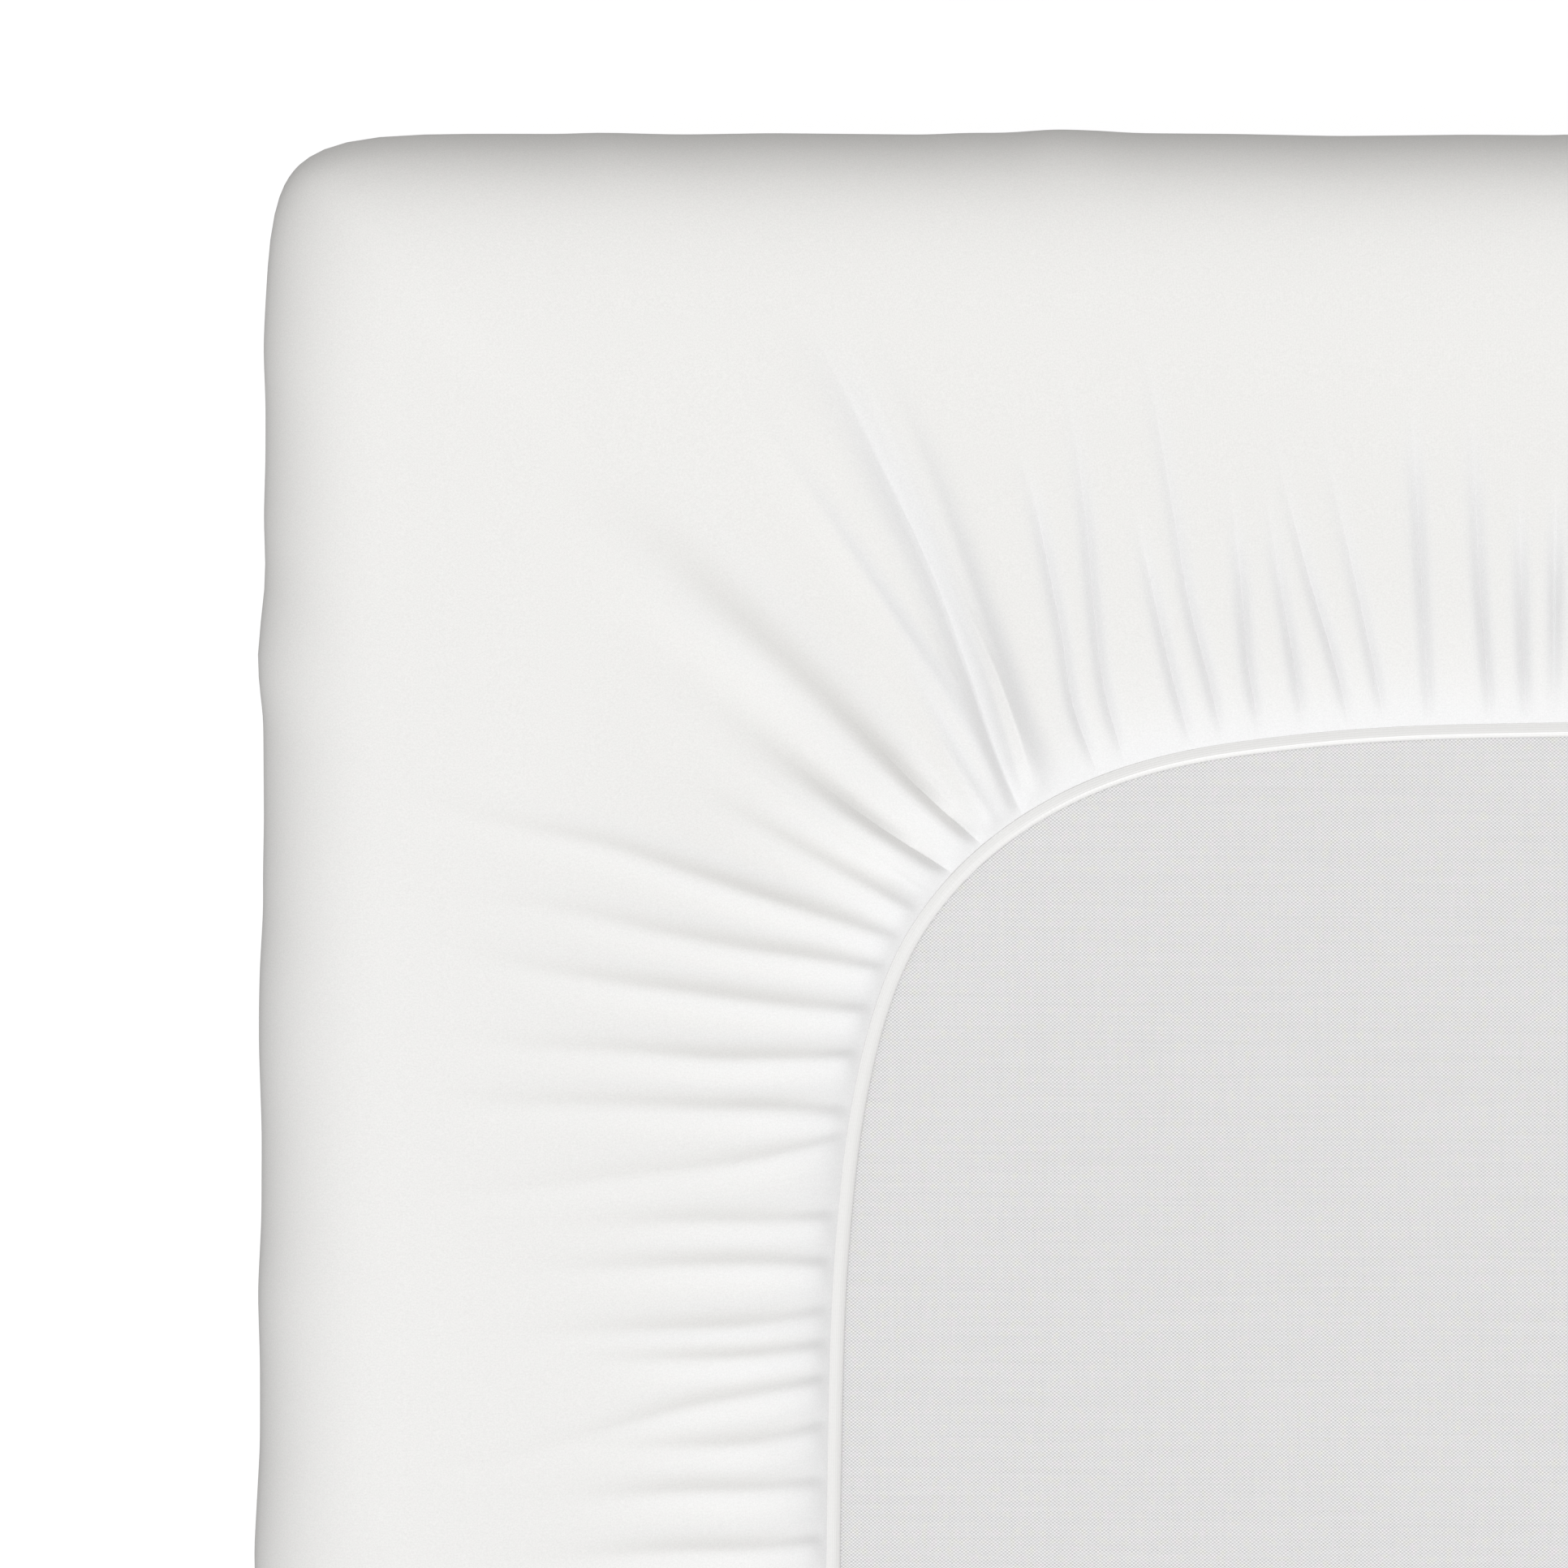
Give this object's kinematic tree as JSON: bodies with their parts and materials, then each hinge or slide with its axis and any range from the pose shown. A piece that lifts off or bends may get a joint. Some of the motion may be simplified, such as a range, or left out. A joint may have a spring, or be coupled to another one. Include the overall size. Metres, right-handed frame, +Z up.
{
  "type": "mattress pad on crib mattress",
  "caption": "Fitted mattress pad on a crib mattress, face down: its stretch skirt turns over onto the underside, where an elastic binding gathers it round the mouth.",
  "frame": {"origin": "centre of the padded panel's outer face, on the surface that it lies on", "axes": "+X across the mattress, +Y along it, +Z up, out of the mattress's underside and the pad's mouth"},
  "size_m": [0.7144, 1.3244, 0.1544],
  "materials": {
    "ticking": "matte plain-woven light grey cloth",
    "panel_cloth": "matte white cloth over thin padding",
    "skirt_jersey": "soft matte white stretch jersey with a faint rib",
    "binding_tape": "white folded elastic tape, slightly smoother than the jersey"
  },
  "bodies": {
    "root": {"mattress": "ticking", "top_panel": "panel_cloth", "skirt": "skirt_jersey", "elastic_binding": "binding_tape"}
  },
  "joints": []
}
